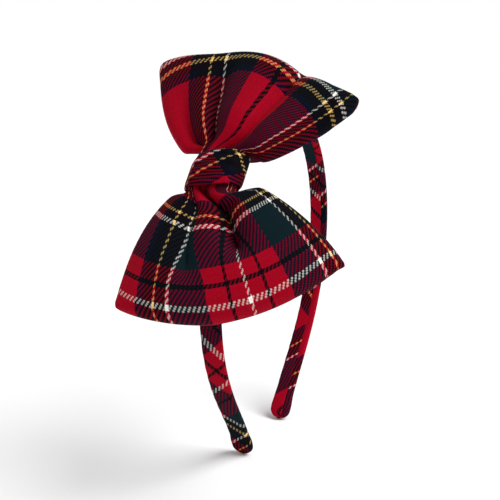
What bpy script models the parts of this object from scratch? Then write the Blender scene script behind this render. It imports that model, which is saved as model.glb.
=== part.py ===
"""Hair band with a bow: a cloth-covered Alice band that carries a pinched bow on one side.

Metres, +Z up, upright as worn. X runs from ear to ear and -Y faces forwards. The origin is the
middle of the crown's inner face, where the band rests on the head, and the bow is on the -X side.

Everything hangs on one curve, the core's centreline. It is measured by s, the length along it from
the crown, negative towards the bow's side. A section across the band is drawn in (f, n): f towards
the front and n away from the head. The bow has its own frame at its waist: t along the band towards
the crown, f towards the front and n away from the head.
"""

import math
from collections import namedtuple

import bmesh
import bpy
import numpy as np
from mathutils import Vector
from mathutils.geometry import convex_hull_2d

GAP = 0.0003
CLOTH = 0.00035
SHARP_ANGLE = math.radians(40)
ROUND_STEPS = 24
LEAST_MITRE = 0.5

# The band: a plastic strip bent to a C, in a bias-cut cloth cover.
HALF_LENGTH = 0.1896
TIP_BEND = math.radians(118.1)
BEND_SHARE = {1: 1.253, 3: 1.052, 5: -1.305}
CORE_HALF_WIDTH = 0.00345
CORE_HALF_THICKNESS = 0.0006
TIP_ROUNDING = 0.0034
CROWN_FLAT = 0.0050
BAND_STATIONS = 30
BEND_STEPS = 400
TIP_STATIONS = 4
TIP_TURN = math.radians(66.0)
TIP_FOLD_FLAT = 0.7
TIP_FOLD_LOW = 0.6
TIP_FOLD_HIGH = 0.5
SEAM_EDGE = 0.0013
HIDDEN_EDGE = -0.0012

# The bow: two cloth panels sewn edge to edge round a stiffening layer, pinched at the waist.
BOW_PLACE = 0.328
BOW_BEHIND = 0.0025
WAIST_HALF_THICKNESS = 0.0025
WAIST_SHARE = 0.13
PANEL_COLUMNS = 14
PANEL_ROWS = 26
LINING_HALF_THICKNESS = 0.0003
LINING_REACH = 0.85

# The knot: a folded strip round the bow's waist and the band.
KNOT_HALF_HEIGHT = 0.0072
KNOT_STRIP = 0.0012
KNOT_SAMPLES = 44
KNOT_OVERLAP = 6
KNOT_RINGS = (0.0, 0.75, 0.93, 1.0)
KNOT_ROUNDING = 8
KNOT_START = math.radians(-80.0)
KNOT_LIFT = 0.55
KNOT_RAMP = 0.30
KNOT_EDGE_LOSS = 0.82
THREAD = 0.0005
THREAD_TURNS = 3
THREAD_PITCH = 0.0012
GLUE_THICKNESS = 0.0010
GLUE_LENGTH = 0.0100
GLUE_WIDTH = 0.0060
GLUE_TAPER = 0.85
STITCHES = 5
STITCH_REACH = 0.7
STITCH_BACK = 3

# Each loop of the bow is a fan from the waist. It reaches to an arc round the waist, between a back
# and a front side. Each side turns from a wide angle at the waist, its own angle and its swell, to
# its own angle at the loop's end. Angles are from the bow's length towards the front, in degrees.
Loop = namedtuple("Loop", "way back_reach front_reach back back_swell front front_swell")
LOWER_LOOP = Loop(-1, 0.0580, 0.0580, back=-21.0, back_swell=30.0, front=60.0, front_swell=14.0)
UPPER_LOOP = Loop(1, 0.0572, 0.0535, back=-39.5, back_swell=31.0, front=51.5, front_swell=22.0)
WAIST_HALF_LENGTH = 0.0080
WAIST_HALF_WIDTH = 0.0095
OPENS_OVER = 0.28
BELLY = 0.0046
BELLY_PLACE = 0.85

COVER_HALF_THICKNESS = CORE_HALF_THICKNESS + GAP + CLOTH
INNER_FACE = COVER_HALF_THICKNESS + GAP + CLOTH
COVER_HALF_WIDTH = CORE_HALF_WIDTH + GAP + CLOTH


def clear_scene():
    for old in list(bpy.data.objects):
        bpy.data.objects.remove(old)


def material(name, colour, roughness):
    made = bpy.data.materials.new(name)
    made.use_nodes = True
    shader = made.node_tree.nodes["Principled BSDF"]
    shader.inputs["Base Color"].default_value = (*colour, 1.0)
    shader.inputs["Roughness"].default_value = roughness
    shader.inputs["Metallic"].default_value = 0.0
    return made


def add_object(name, bm, finish):
    """A smooth-shaded object from a bmesh whose faces are turned outwards."""
    bm.normal_update()
    bmesh.ops.recalc_face_normals(bm, faces=bm.faces)
    mesh = bpy.data.meshes.new(name)
    bm.to_mesh(mesh)
    bm.free()
    mesh.materials.append(finish)
    mesh.shade_smooth()
    mesh.set_sharp_from_angle(angle=SHARP_ANGLE)
    made = bpy.data.objects.new(name, mesh)
    bpy.context.scene.collection.objects.link(made)
    return made


def loft(name, rings, finish):
    """A closed solid through rings of points with flat ends. Every ring has the same even count:
    one side of a strip and then its other side back, so rungs between the sides fill an end."""
    bm = bmesh.new()
    made = [[bm.verts.new(point) for point in ring] for ring in rings]
    for ring, after in zip(made, made[1:]):
        for i in range(len(ring)):
            j = (i + 1) % len(ring)
            bm.faces.new((ring[i], ring[j], after[j], after[i]))
    last = len(rings[0]) - 1
    for ring in (made[0], made[-1]):
        for i in range(last // 2):
            bm.faces.new((ring[i], ring[i + 1], ring[last - i - 1], ring[last - i]))
    return add_object(name, bm, finish)


def slab(name, lower, upper, finish):
    """A closed solid between two grids of points that have the same rows and columns."""
    bm = bmesh.new()
    low = [[bm.verts.new(point) for point in row] for row in lower]
    high = [[bm.verts.new(point) for point in row] for row in upper]
    rows, columns = len(low), len(low[0])
    for i in range(rows - 1):
        for j in range(columns - 1):
            for grid in (low, high):
                bm.faces.new((grid[i][j], grid[i][j + 1], grid[i + 1][j + 1], grid[i + 1][j]))
    rim = [(0, j) for j in range(columns)]
    rim += [(i, columns - 1) for i in range(1, rows)]
    rim += [(rows - 1, j) for j in range(columns - 2, -1, -1)]
    rim += [(i, 0) for i in range(rows - 2, 0, -1)]
    for (a, b), (c, d) in zip(rim, rim[1:] + rim[:1]):
        bm.faces.new((low[a][b], low[c][d], high[c][d], high[a][b]))
    return add_object(name, bm, finish)


# The band's curve ---------------------------------------------------------------------------


def bend(s):
    """How far the band has turned down at s."""
    u = s / HALF_LENGTH
    return TIP_BEND * sum(share * u**power for power, share in BEND_SHARE.items())


def band_place(s):
    """The core's centre at s, with the directions along the band and away from the head."""
    turned = bend(s * (np.arange(BEND_STEPS) + 0.5) / BEND_STEPS)
    x = s * np.cos(turned).mean()
    z = INNER_FACE - s * np.sin(turned).mean()
    along = Vector((math.cos(bend(s)), 0.0, -math.sin(bend(s))))
    outward = Vector((math.sin(bend(s)), 0.0, math.cos(bend(s))))
    return Vector((x, 0.0, z)), along, outward


def band_ring(s, section):
    centre, _, outward = band_place(s)
    return [centre + Vector((0.0, -f, 0.0)) + outward * n for f, n in section]


def half_width(s, end):
    """The core's half width at s, which rounds off towards an end at that length."""
    into_tip = abs(s) - (end - TIP_ROUNDING)
    if into_tip <= 0.0:
        return CORE_HALF_WIDTH
    return CORE_HALF_WIDTH - TIP_ROUNDING + math.sqrt(max(TIP_ROUNDING**2 - into_tip**2, 0.0))


def band_stations(end):
    """Places along the band up to the end: a flat stretch at the crown, then even steps."""
    straight = end - TIP_ROUNDING
    tip = [
        straight + TIP_ROUNDING * math.sin(TIP_TURN * k / TIP_STATIONS)
        for k in range(1, TIP_STATIONS + 1)
    ]
    side = list(np.linspace(CROWN_FLAT / 2, straight, BAND_STATIONS)) + tip
    return [-s for s in reversed(side)] + side


def arc(centre, radius, start, end, steps):
    """Points on an arc in (f, n), from one angle to another in degrees."""
    angles = np.radians(np.linspace(start, end, steps + 1))
    return [(centre[0] + radius * math.cos(a), centre[1] + radius * math.sin(a)) for a in angles]


def thickened(path, thickness):
    """The outline of an open path given a thickness: its left side, then its right side back."""
    path = np.array(path)
    runs = np.diff(path, axis=0)
    runs /= np.linalg.norm(runs, axis=1)[:, None]
    before = np.vstack([runs[:1], runs])
    after = np.vstack([runs, runs[-1:]])
    middle = before + after
    middle /= np.linalg.norm(middle, axis=1)[:, None]
    normal = np.stack([-middle[:, 1], middle[:, 0]], axis=1)
    stretch = 1.0 / np.maximum((middle * before).sum(axis=1), LEAST_MITRE)
    side = normal * stretch[:, None] * thickness / 2
    return [tuple(p) for p in path + side] + [tuple(p) for p in (path - side)[::-1]]


def make_core(finish):
    end = HALF_LENGTH - GAP - 2 * CLOTH
    rings = []
    for s in band_stations(end):
        a = half_width(s, end)
        b = CORE_HALF_THICKNESS
        soft = b / 2
        rings.append(
            band_ring(
                s,
                [
                    (-a, -soft),
                    (-a + soft, -b),
                    (a - soft, -b),
                    (a, -soft),
                    (a, soft),
                    (a - soft, b),
                    (-a + soft, b),
                    (-a, soft),
                ],
            )
        )
    return loft("band_core", rings, finish)


def cover_path(core_half_width):
    """The cover's cloth in section: from its hidden edge under the head side, round the front
    edge, over the outer face, round the back edge and across to the seam."""
    level = CORE_HALF_THICKNESS + GAP + CLOTH / 2
    lapped = level + CLOTH + GAP
    side = core_half_width + GAP + CLOTH / 2
    reach = min(SEAM_EDGE / CORE_HALF_WIDTH * core_half_width, SEAM_EDGE)
    hidden = max(HIDDEN_EDGE / CORE_HALF_WIDTH * core_half_width, HIDDEN_EDGE)
    front = arc((side - level, 0.0), level, -90.0, 90.0, 4)
    back_middle = (level - lapped) / 2
    back_radius = (level + lapped) / 2
    back = arc((-side + back_radius, back_middle), back_radius, 90.0, 270.0, 4)
    return [(hidden, -level)] + front + back + [(reach, -lapped)]


def make_cover(finish):
    """The wrapped strip, closed at each tip by the cloth folded over the core's end."""
    end = HALF_LENGTH - CLOTH
    rings = []
    for s in band_stations(end):
        rings.append(band_ring(s, thickened(cover_path(half_width(s, end)), CLOTH)))
    cover = loft("band_cover", rings, finish)
    for side in (-1, 1):
        tip = make_tip_fold(side, finish)
        join = cover.modifiers.new("tip_fold", "BOOLEAN")
        join.operation = "UNION"
        join.object = tip
    return cover


def make_tip_fold(side, finish):
    """The solid end of the cover. It is a guide: the cover's Boolean takes it in."""
    inner = HALF_LENGTH - 2 * CLOTH
    outer = HALF_LENGTH
    end_stations = band_stations(HALF_LENGTH - CLOTH)
    half = half_width(end_stations[-1], HALF_LENGTH - CLOTH) + GAP + CLOTH / 2
    top = CORE_HALF_THICKNESS + GAP + CLOTH / 2
    bottom = -(top + CLOTH + GAP)
    flat = half * TIP_FOLD_FLAT
    low = bottom * TIP_FOLD_LOW
    high = top * TIP_FOLD_HIGH
    section = [
        (-flat, bottom),
        (flat, bottom),
        (half, low),
        (half, high),
        (flat, top),
        (-flat, top),
        (-half, high),
        (-half, low),
    ]
    stations = [side * s for s in (inner, outer)]
    name = "tip_fold_left" if side < 0 else "tip_fold_right"
    tip = loft(name, [band_ring(s, section) for s in stations], finish)
    tip.hide_render = True
    tip.display_type = "WIRE"
    return tip


# The bow ------------------------------------------------------------------------------------


def bow_frame():
    """The middle of the bow's waist, with its directions t, f and n."""
    centre, along, outward = band_place(-BOW_PLACE * HALF_LENGTH)
    rise = (
        COVER_HALF_THICKNESS
        + GAP
        + GLUE_THICKNESS
        + GAP
        + THREAD
        + GAP
        + CLOTH
        + GAP / 2
        + WAIST_HALF_THICKNESS
    )
    return centre + outward * rise + Vector((0.0, BOW_BEHIND, 0.0)), along, outward, rise


BOW_CENTRE, BOW_ALONG, BOW_OUT, BOW_RISE = bow_frame()


def bow_point(t, f, n):
    return BOW_CENTRE + BOW_ALONG * t + Vector((0.0, -f, 0.0)) + BOW_OUT * n


def smooth(x):
    """Rises from 0 to 1 as x does, and is level at both ends."""
    x = min(max(x, 0.0), 1.0)
    return x * x * (3 - 2 * x)


def bow_middle(p, q):
    """The bow's middle surface as (t, f), and how far the cloth stands off it, at p across the bow
    and q along it. Both run from -1 to 1, and the waist takes up q to WAIST_SHARE on each side."""
    out = (abs(q) - WAIST_SHARE) / (1 - WAIST_SHARE)
    if out <= 0.0:
        t = q / WAIST_SHARE * WAIST_HALF_LENGTH
        return (t, p * WAIST_HALF_WIDTH), WAIST_HALF_THICKNESS * (1 - p * p)
    loop = LOWER_LOOP if q < 0 else UPPER_LOOP
    share = (1 + p) / 2
    reach = loop.back_reach + (loop.front_reach - loop.back_reach) * share
    radius = WAIST_HALF_LENGTH + (reach - WAIST_HALF_LENGTH) * out
    back = loop.back - loop.back_swell * (1 - out)
    front = loop.front + loop.front_swell * (1 - out)
    turn = math.radians(back + (front - back) * share)
    opened = smooth(out / OPENS_OVER)
    t = radius * (math.cos(turn) * opened + 1 - opened)
    f = radius * math.sin(turn) * opened + p * WAIST_HALF_WIDTH * (1 - opened)
    belly = WAIST_HALF_THICKNESS * (1 - out) + BELLY * math.sin(math.pi * out**BELLY_PLACE)
    return (loop.way * t, f), belly * (1 - p * p)


def bow_grid(offset, reach=1.0):
    """A grid of points over the bow. offset gives each one's height from the cloth's rise."""
    grid = []
    for q in np.linspace(-reach, reach, PANEL_ROWS):
        row = []
        for p in np.linspace(-reach, reach, PANEL_COLUMNS):
            (t, f), rise = bow_middle(p, q)
            row.append(bow_point(t, f, offset(rise)))
        grid.append(row)
    return grid


def make_panel(name, side, finish):
    inner = bow_grid(lambda rise: side * (GAP / 2 + rise))
    outer = bow_grid(lambda rise: side * (GAP / 2 + rise + CLOTH))
    return slab(name, inner, outer, finish)


def make_interlining(finish):
    lower = bow_grid(lambda rise: -LINING_HALF_THICKNESS, LINING_REACH)
    upper = bow_grid(lambda rise: LINING_HALF_THICKNESS, LINING_REACH)
    return slab("bow_interlining", lower, upper, finish)


# The knot -----------------------------------------------------------------------------------


def waist_outline():
    """The gathered waist in section, as (f, n) in the bow's frame."""
    points = []
    for p in np.linspace(-1.0, 1.0, PANEL_COLUMNS):
        for q in (-WAIST_SHARE, WAIST_SHARE):
            (_, f), rise = bow_middle(p, q)
            for side in (-1, 1):
                points.append((f, side * (GAP / 2 + rise + CLOTH)))
    return points


def band_outline():
    """The covered band in section, in the bow's frame."""
    outline = []
    for f in (-COVER_HALF_WIDTH, COVER_HALF_WIDTH):
        for n in (-INNER_FACE, COVER_HALF_THICKNESS):
            outline.append((f + BOW_BEHIND, n - BOW_RISE))
    return outline


def wrapped(parts):
    """The taut loop round several sets of points, each kept at its own distance."""
    swollen = []
    for points, distance in parts:
        for f, n in points:
            for angle in np.linspace(0.0, 2 * math.pi, ROUND_STEPS, endpoint=False):
                swollen.append((f + distance * math.cos(angle), n + distance * math.sin(angle)))
    return [swollen[i] for i in convex_hull_2d(swollen)]


def spaced_out(loop, spacing):
    """The corners of a loop that are at least this far apart, in order."""
    kept = [np.array(loop[0])]
    for corner in loop[1:]:
        if np.linalg.norm(kept[-1] - corner) >= spacing:
            kept.append(np.array(corner))
    return kept


def reach_of(loop, centre, angle):
    """Where a ray from the centre leaves a convex loop."""
    ray = np.array((math.cos(angle), math.sin(angle)))
    corners = np.array(loop) - centre
    best = 0.0
    for a, b in zip(corners, np.roll(corners, -1, axis=0)):
        edge = b - a
        cross = ray[0] * edge[1] - ray[1] * edge[0]
        if abs(cross) < 1e-12:
            continue
        along_ray = (a[0] * edge[1] - a[1] * edge[0]) / cross
        along_edge = (a[0] * ray[1] - a[1] * ray[0]) / cross
        if -1e-9 <= along_edge <= 1 + 1e-9:
            best = max(best, along_ray)
    return centre + ray * best


def knot_path(inset):
    """The knot strip in section. It starts at the middle of the head side, goes once round and
    laps over its own start."""
    clearance = GAP + THREAD + GAP + inset
    first = wrapped([(waist_outline(), clearance), (band_outline(), GAP + inset)])
    lap = KNOT_STRIP + GAP
    second = wrapped([(waist_outline(), clearance), (band_outline(), GAP + inset + lap)])
    centre = np.array((BOW_BEHIND / 2, -BOW_RISE / 2))
    step = 2 * math.pi / KNOT_SAMPLES
    path = []
    for k in range(KNOT_SAMPLES + KNOT_OVERLAP + 1):
        angle = KNOT_START + k * step
        blend = smooth((k / KNOT_SAMPLES - KNOT_LIFT) / KNOT_RAMP)
        path.append(
            (1 - blend) * reach_of(first, centre, angle) + blend * reach_of(second, centre, angle)
        )
    return path


def make_knot(finish):
    """The folded strip, rounder towards its two folded edges."""
    rings = []
    path = knot_path(KNOT_STRIP / 2)
    for share in [-share for share in KNOT_RINGS[:0:-1]] + list(KNOT_RINGS):
        thickness = KNOT_STRIP * math.sqrt(1 - KNOT_EDGE_LOSS * share**KNOT_ROUNDING)
        section = thickened(path, thickness)
        rings.append([bow_point(share * KNOT_HALF_HEIGHT, f, n) for f, n in section])
    return loft("knot_wrap", rings, finish)


def tube(name, points, radius, finish):
    """A thread along a smooth run of points."""
    curve = bpy.data.curves.new(name, "CURVE")
    curve.dimensions = "3D"
    curve.bevel_depth = radius
    curve.bevel_resolution = 1
    curve.use_fill_caps = True
    spline = curve.splines.new("POLY")
    spline.points.add(len(points) - 1)
    for knot, point in zip(spline.points, points):
        knot.co = (*point, 1.0)
    curve.materials.append(finish)
    made = bpy.data.objects.new(name, curve)
    bpy.context.scene.collection.objects.link(made)
    return made


def make_thread(finish):
    """The gathering thread, wound round the waist."""
    loop = spaced_out(wrapped([(waist_outline(), GAP + THREAD / 2)]), 2 * THREAD)
    points = []
    for k in range(THREAD_TURNS * len(loop) + 1):
        f, n = loop[k % len(loop)]
        t = THREAD_PITCH * (k / len(loop) - THREAD_TURNS / 2)
        points.append(bow_point(t, f, n))
    return tube("gather_thread", points, THREAD / 2, finish)


def make_glue(finish):
    """The pad of set glue between the band and the bow's waist."""
    low = COVER_HALF_THICKNESS + GAP
    bm = bmesh.new()
    bmesh.ops.create_cube(bm, size=1.0)
    for vert in bm.verts:
        taper = GLUE_TAPER if vert.co.z > 0 else 1.0
        t = vert.co.x * GLUE_LENGTH * taper
        f = vert.co.y * GLUE_WIDTH * taper + BOW_BEHIND
        n = low + (vert.co.z + 0.5) * GLUE_THICKNESS - BOW_RISE
        vert.co = bow_point(t, f, n)
    return add_object("bow_glue_pad", bm, finish)


def make_stitches(finish):
    """The whip stitches that close the knot's lapped end: one thread that zigzags over it."""
    path = knot_path(KNOT_STRIP + GAP + THREAD / 2)
    end = path[-1]
    over = path[-STITCH_BACK]
    points = []
    for k in range(2 * STITCHES):
        share = k / (2 * STITCHES - 1)
        t = (2 * share - 1) * KNOT_HALF_HEIGHT * STITCH_REACH
        f, n = end if k % 2 == 0 else over
        points.append(bow_point(t, f, n))
    return tube("knot_stitches", points, THREAD / 3, finish)


def main():
    clear_scene()
    tartan = material("tartan_twill", (0.30, 0.012, 0.02), 0.85)
    plastic = material("core_plastic", (0.75, 0.74, 0.70), 0.45)
    lining = material("stiff_lining", (0.80, 0.79, 0.76), 0.90)
    thread = material("red_thread", (0.33, 0.01, 0.02), 0.60)
    glue = material("clear_glue", (0.72, 0.68, 0.55), 0.30)
    make_core(plastic)
    make_cover(tartan)
    make_panel("bow_front_panel", 1, tartan)
    make_panel("bow_back_panel", -1, tartan)
    make_interlining(lining)
    make_thread(thread)
    make_glue(glue)
    make_knot(tartan)
    make_stitches(thread)


main()
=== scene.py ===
"""The looks of a tartan hair bow on a cloth-covered band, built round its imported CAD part.

Lengths are in millimetres until a mesh is made. The bow is worked out in its own frame at its
waist: t along the band towards the crown, f towards the front and n away from the head. Cloth
coordinates a and b run along the weft and along the warp, and every cloth mesh carries them as its
UV map, so that the tartan follows each fold.
"""

import math
from collections import namedtuple

import bpy
import numpy as np
from mathutils import Matrix, Vector


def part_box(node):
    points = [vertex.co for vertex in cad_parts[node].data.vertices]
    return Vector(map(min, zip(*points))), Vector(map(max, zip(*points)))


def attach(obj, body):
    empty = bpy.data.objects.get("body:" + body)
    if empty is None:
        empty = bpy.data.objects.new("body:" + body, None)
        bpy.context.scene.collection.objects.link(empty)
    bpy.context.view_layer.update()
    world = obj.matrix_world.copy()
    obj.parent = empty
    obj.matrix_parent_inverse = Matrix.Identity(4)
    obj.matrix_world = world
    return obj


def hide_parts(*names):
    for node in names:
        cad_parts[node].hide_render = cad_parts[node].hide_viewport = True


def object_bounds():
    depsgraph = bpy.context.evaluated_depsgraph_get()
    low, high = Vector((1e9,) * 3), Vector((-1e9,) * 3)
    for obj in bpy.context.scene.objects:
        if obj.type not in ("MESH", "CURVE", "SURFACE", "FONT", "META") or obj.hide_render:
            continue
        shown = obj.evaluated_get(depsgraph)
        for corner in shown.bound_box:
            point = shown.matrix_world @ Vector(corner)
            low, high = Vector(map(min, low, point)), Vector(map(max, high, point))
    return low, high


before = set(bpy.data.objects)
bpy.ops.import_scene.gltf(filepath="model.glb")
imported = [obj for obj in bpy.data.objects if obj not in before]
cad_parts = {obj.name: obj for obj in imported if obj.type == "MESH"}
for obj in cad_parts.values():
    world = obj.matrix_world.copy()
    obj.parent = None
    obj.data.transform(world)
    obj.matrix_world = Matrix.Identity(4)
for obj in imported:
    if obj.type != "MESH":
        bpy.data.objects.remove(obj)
CAD_LOW, CAD_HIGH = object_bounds()
MM = 0.001

# The band, as the CAD draws it: a strip bent to a C in a wrapped cover.
HALF_LENGTH = 189.6
TIP_BEND = math.radians(118.1)
BEND_SHARE = {1: 1.253, 3: 1.052, 5: -1.305}
INNER_FACE = 1.9
CORE_HALF_WIDTH = 3.45
TIP_ROUNDING = 3.4
CORE_HALF_THICKNESS = 0.6
GAP = 0.3
CLOTH = 0.35
LAP_GAP = 0.1
LEVEL = CORE_HALF_THICKNESS + GAP + CLOTH / 2
LAPPED = LEVEL + CLOTH + LAP_GAP
SEAM_EDGE = 1.3
HIDDEN_EDGE = -1.2

# The bow's place on the band, and the cloth of its panels: HALF_ACROSS to each side of the middle
# and LENGTH long, with the knot over the stretch from LOWER_WAIST to UPPER_WAIST.
BOW_PLACE = 0.328
BOW_BEHIND = 2.5
HALF_ACROSS = 42.0
LOWER_WAIST = 55.3
UPPER_WAIST = 65.0
LENGTH = 113.0
WAIST_HALF_WIDTH = 7.8
PLEAT_DEPTH = 2.7
PLEAT_SHARE = 0.25

# Each loop is a fan. The cloth's long threads leave the waist like spokes and its cross threads are
# arcs round the waist: from radius start to radius reach, between two side angles. Each side opens
# out by its swell near the knot, ends in a corner that reaches that much further, and its outermost
# cloth, a roll wide, turns back towards the head. Angles are in degrees from the bow's length towards
# the front. The belly stands off by its height, and its brim is how much of that height the cloth
# drops by a quarter circle at the loop's end. Gather and lean move the middle threads towards the
# front, as a share of the loop's width: gather in the knot, and lean everywhere outside it.
Side = namedtuple("Side", "angle swell roll corner")
Loop = namedtuple("Loop", "way length start reach back front gather lean belly brim folds")
# A fold in a loop: the thread it follows, its half width, how high it stands, how far it draws the
# cloth beside it together, how far out along the loop it fades, and how far it pulls the loop's end
# in. A valley's height is negative.
Fold = namedtuple("Fold", "thread half_width height draw fades pull")
LOWER_LOOP = Loop(
    way=-1, length=LOWER_WAIST, start=7.6, reach=58.0, gather=-0.35, lean=0.035, belly=6.8, brim=0.8,
    back=Side(angle=-21.5, swell=38.0, roll=3.0, corner=0.8),
    front=Side(angle=62.0, swell=18.5, roll=6.5, corner=1.0),
    folds=(
        Fold(-15.0, 7.0, -6.0, 12.0, 0.80, 0.0),
        Fold(6.0, 5.6, -18.0, 11.5, 0.66, 0.0),
    ),
)
UPPER_LOOP = Loop(
    way=1, length=LENGTH - UPPER_WAIST, start=5.6, reach=51.5, gather=-0.24, lean=0.10, belly=7.4, brim=1.0,
    back=Side(angle=-41.0, swell=32.5, roll=2.0, corner=7.5),
    front=Side(angle=52.5, swell=17.0, roll=4.0, corner=3.0),
    folds=(
        Fold(-32.0, 4.0, -4.0, 2.0, 0.80, 0.0),
        Fold(-18.5, 4.4, -6.5, 4.0, 0.92, 0.0),
        Fold(10.0, 6.6, -13.0, 17.0, 1.05, 4.0),
    ),
)
# In shares of the way from the waist to a loop's end: how far the pleats take to open, the belly to
# rise, the rolls to turn and a fold to deepen and to fade.
OPENS_OVER = 0.22
BELLY_RISES_OVER = 0.35
ROLL_STARTS_OVER = 0.3
FOLD_STARTS_OVER = 0.15
FOLD_FADES_OVER = 0.45
# The share of the belly that is there from the start, and how fast the back side's swell dies away.
BELLY_AT_WAIST = 0.45
SWELL_POWER = 1.25
# Where a loop's corners start to reach further, as a share of the way from its middle to its side.
BACK_CORNER_FROM = 0.5
FRONT_CORNER_FROM = 0.6
# The cloth's cut corners, the least brim, and how many times wider than its fold a pull is.
CORNER_ROUNDING = 4.8
LEAST_BRIM = 0.3
PULL_WIDENS = 2.2
# The back panel has the same sides, shallow gathers of its own and its own place on the tartan.
BACK_BELLY = 4.6
BACK_FOLDS = tuple(Fold(thread, 3.4, -5.0, 5.0, 0.95, 0.0) for thread in (-26.0, -9.0, 9.0, 26.0))
FRONT_CUT = (0.0, 0.0)
BACK_CUT = (5.0, 16.5)
# The upper half of the cloth lies a little off the grain: its threads slip back, and its cross
# threads slope and start lower.
GRAIN_SLIP = 2.0
GRAIN_SLOPE = 0.06
GRAIN_START = -0.5
# How far the panels' inner faces lie off the settled net, and the lining's inset in points of it.
PANEL_OFF_NET = 0.06
LINING_INSET = 4
LINING_HALF_THICKNESS = 0.14
# Steps of the simulation.
FULL_STEPS = 40


# The band's curve and the bow's frame -------------------------------------------------------


def bend(s):
    u = s / HALF_LENGTH
    return TIP_BEND * sum(share * u**power for power, share in BEND_SHARE.items())


def band_place(s):
    """The core's centre at s, with the directions along the band and away from the head."""
    turned = bend(s * (np.arange(400) + 0.5) / 400)
    centre = np.array((s * np.cos(turned).mean(), 0.0, INNER_FACE - s * np.sin(turned).mean()))
    along = np.array((math.cos(bend(s)), 0.0, -math.sin(bend(s))))
    outward = np.array((math.sin(bend(s)), 0.0, math.cos(bend(s))))
    return centre, along, outward


FRONT = np.array((0.0, -1.0, 0.0))
BAND_MIDDLE, BOW_ALONG, BOW_OUT = band_place(-BOW_PLACE * HALF_LENGTH)
THREAD_LOW, THREAD_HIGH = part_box("gather_thread")
BOW_RISE = float(np.dot((np.array(THREAD_LOW) + np.array(THREAD_HIGH)) / 2 / MM - BAND_MIDDLE, BOW_OUT))
BOW_CENTRE = BAND_MIDDLE + BOW_OUT * BOW_RISE - FRONT * BOW_BEHIND


def from_bow(points):
    """Points (t, f, n) of the bow's frame in the row frame, still in millimetres."""
    points = np.asarray(points, float)
    return (
        BOW_CENTRE
        + points[..., 0:1] * BOW_ALONG
        + points[..., 1:2] * FRONT
        + points[..., 2:3] * BOW_OUT
    )


# Meshes -------------------------------------------------------------------------------------


def smooth(x):
    x = np.clip(x, 0.0, 1.0)
    return x * x * (3 - 2 * x)


def cubic_rows(count, times):
    """Weights that carry count samples to times as many steps, by a cubic through four of them."""
    fine = np.linspace(0, count - 1, (count - 1) * times + 1)
    i = np.clip(np.floor(fine).astype(int), 0, count - 2)
    s = fine - i
    weights = np.zeros((len(fine), count))
    shares = (
        (-(s**3) + 2 * s**2 - s) / 2,
        (3 * s**3 - 5 * s**2 + 2) / 2,
        (-3 * s**3 + 4 * s**2 + s) / 2,
        (s**3 - s**2) / 2,
    )
    for offset, share in zip((-1, 0, 1, 2), shares):
        np.add.at(weights, (np.arange(len(fine)), np.clip(i + offset, 0, count - 1)), share)
    return weights


def finer(grid, times):
    rows = cubic_rows(grid.shape[0], times)
    columns = cubic_rows(grid.shape[1], times)
    return np.einsum("ri,cj,ijk->rck", rows, columns, grid)


def normals(grid):
    down = np.gradient(grid, axis=0)
    over = np.gradient(grid, axis=1)
    made = np.cross(over, down)
    return made / (np.linalg.norm(made, axis=-1, keepdims=True) + 1e-12)


def mesh_object(name, points, faces, cloth, finish):
    """An object from points in millimetres, faces and each point's cloth coordinates."""
    mesh = bpy.data.meshes.new(name)
    mesh.from_pydata((np.asarray(points) * MM).tolist(), [], faces)
    mesh.update()
    layer = mesh.uv_layers.new(name="cloth")
    corner = np.empty(len(mesh.loops), np.int32)
    mesh.loops.foreach_get("vertex_index", corner)
    layer.data.foreach_set("uv", np.asarray(cloth, np.float32)[corner].ravel())
    mesh.materials.append(finish)
    mesh.shade_smooth()
    made = bpy.data.objects.new(name, mesh)
    bpy.context.scene.collection.objects.link(made)
    return made


def shell(name, inner, outer, cloth, finish, round_rows=False):
    """A closed thin sheet between two grids. round_rows joins each row's ends, for a tube."""
    rows, columns = inner.shape[:2]
    size = rows * columns
    points = np.concatenate([outer.reshape(-1, 3), inner.reshape(-1, 3)])
    uv = np.concatenate([cloth.reshape(-1, 2)] * 2)
    faces = []
    spans = columns if round_rows else columns - 1
    for r in range(rows - 1):
        for c in range(spans):
            d = (c + 1) % columns
            a, b, e, g = r * columns + c, r * columns + d, (r + 1) * columns + d, (r + 1) * columns + c
            faces.append((a, b, e, g))
            faces.append((a + size, g + size, e + size, b + size))
    for c in range(spans):
        d = (c + 1) % columns
        last = (rows - 1) * columns
        faces.append((c, c + size, d + size, d))
        faces.append((last + c, last + d, last + d + size, last + c + size))
    if not round_rows:
        for r in range(rows - 1):
            a, g = r * columns, (r + 1) * columns
            faces.append((a, g, g + size, a + size))
            a, g = a + columns - 1, g + columns - 1
            faces.append((a, a + size, g + size, g))
    made = mesh_object(name, points, faces, uv, finish)
    face_outwards(made)
    return made


def face_outwards(made):
    """Turns a closed mesh's faces outwards, going by the sign of its volume."""
    mesh = made.data
    mesh.calc_loop_triangles()
    points = np.array([v.co for v in mesh.vertices])
    triangles = np.array([t.vertices for t in mesh.loop_triangles])
    corners = points[triangles] - points.mean(axis=0)
    if np.einsum("ij,ij->i", corners[:, 0], np.cross(corners[:, 1], corners[:, 2])).sum() < 0:
        mesh.flip_normals()


# The tartan ---------------------------------------------------------------------------------

WHITE = (0.95, 0.92, 0.84)
RED = (0.34, 0.0008, 0.012)
BLACK = (0.003, 0.002, 0.004)
GREEN = (0.003, 0.012, 0.016)
NAVY = (0.002, 0.003, 0.012)
YELLOW = (0.85, 0.55, 0.16)
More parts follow.
